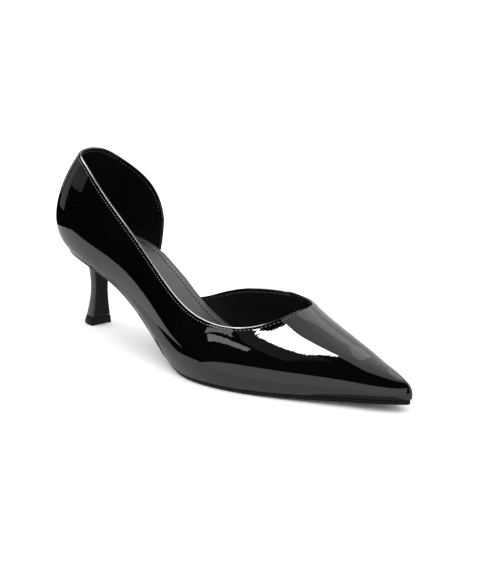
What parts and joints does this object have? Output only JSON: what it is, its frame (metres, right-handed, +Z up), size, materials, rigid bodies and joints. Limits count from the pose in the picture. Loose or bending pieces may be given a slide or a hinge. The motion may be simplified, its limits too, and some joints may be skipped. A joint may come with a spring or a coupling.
{
  "type": "pointed toe shoe",
  "caption": "Right pointed toe pump with a slim flared heel: a hollow patent upper, cut away on the inner side between counter and vamp, on a thin curved sole with an insole.",
  "frame": {"origin": "middle of the shoe's box, on the floor it stands on", "axes": "+X along the foot to the toe, +Y to the inner side of the foot, +Z up"},
  "size_m": [0.2514, 0.0752, 0.1014],
  "materials": {
    "patent_upper": "black patent leather, high gloss",
    "insole_leather": "dark grey smooth leather, satin",
    "outsole_resin": "black moulded sole, satin edge",
    "patent_heel": "black patent leather cover, high gloss",
    "tip_rubber": "black heel tip, matte"
  },
  "bodies": {
    "root": {"upper": "patent_upper", "insole": "insole_leather", "outsole": "outsole_resin", "heel": "patent_heel", "heel_tip": "tip_rubber"}
  },
  "joints": []
}
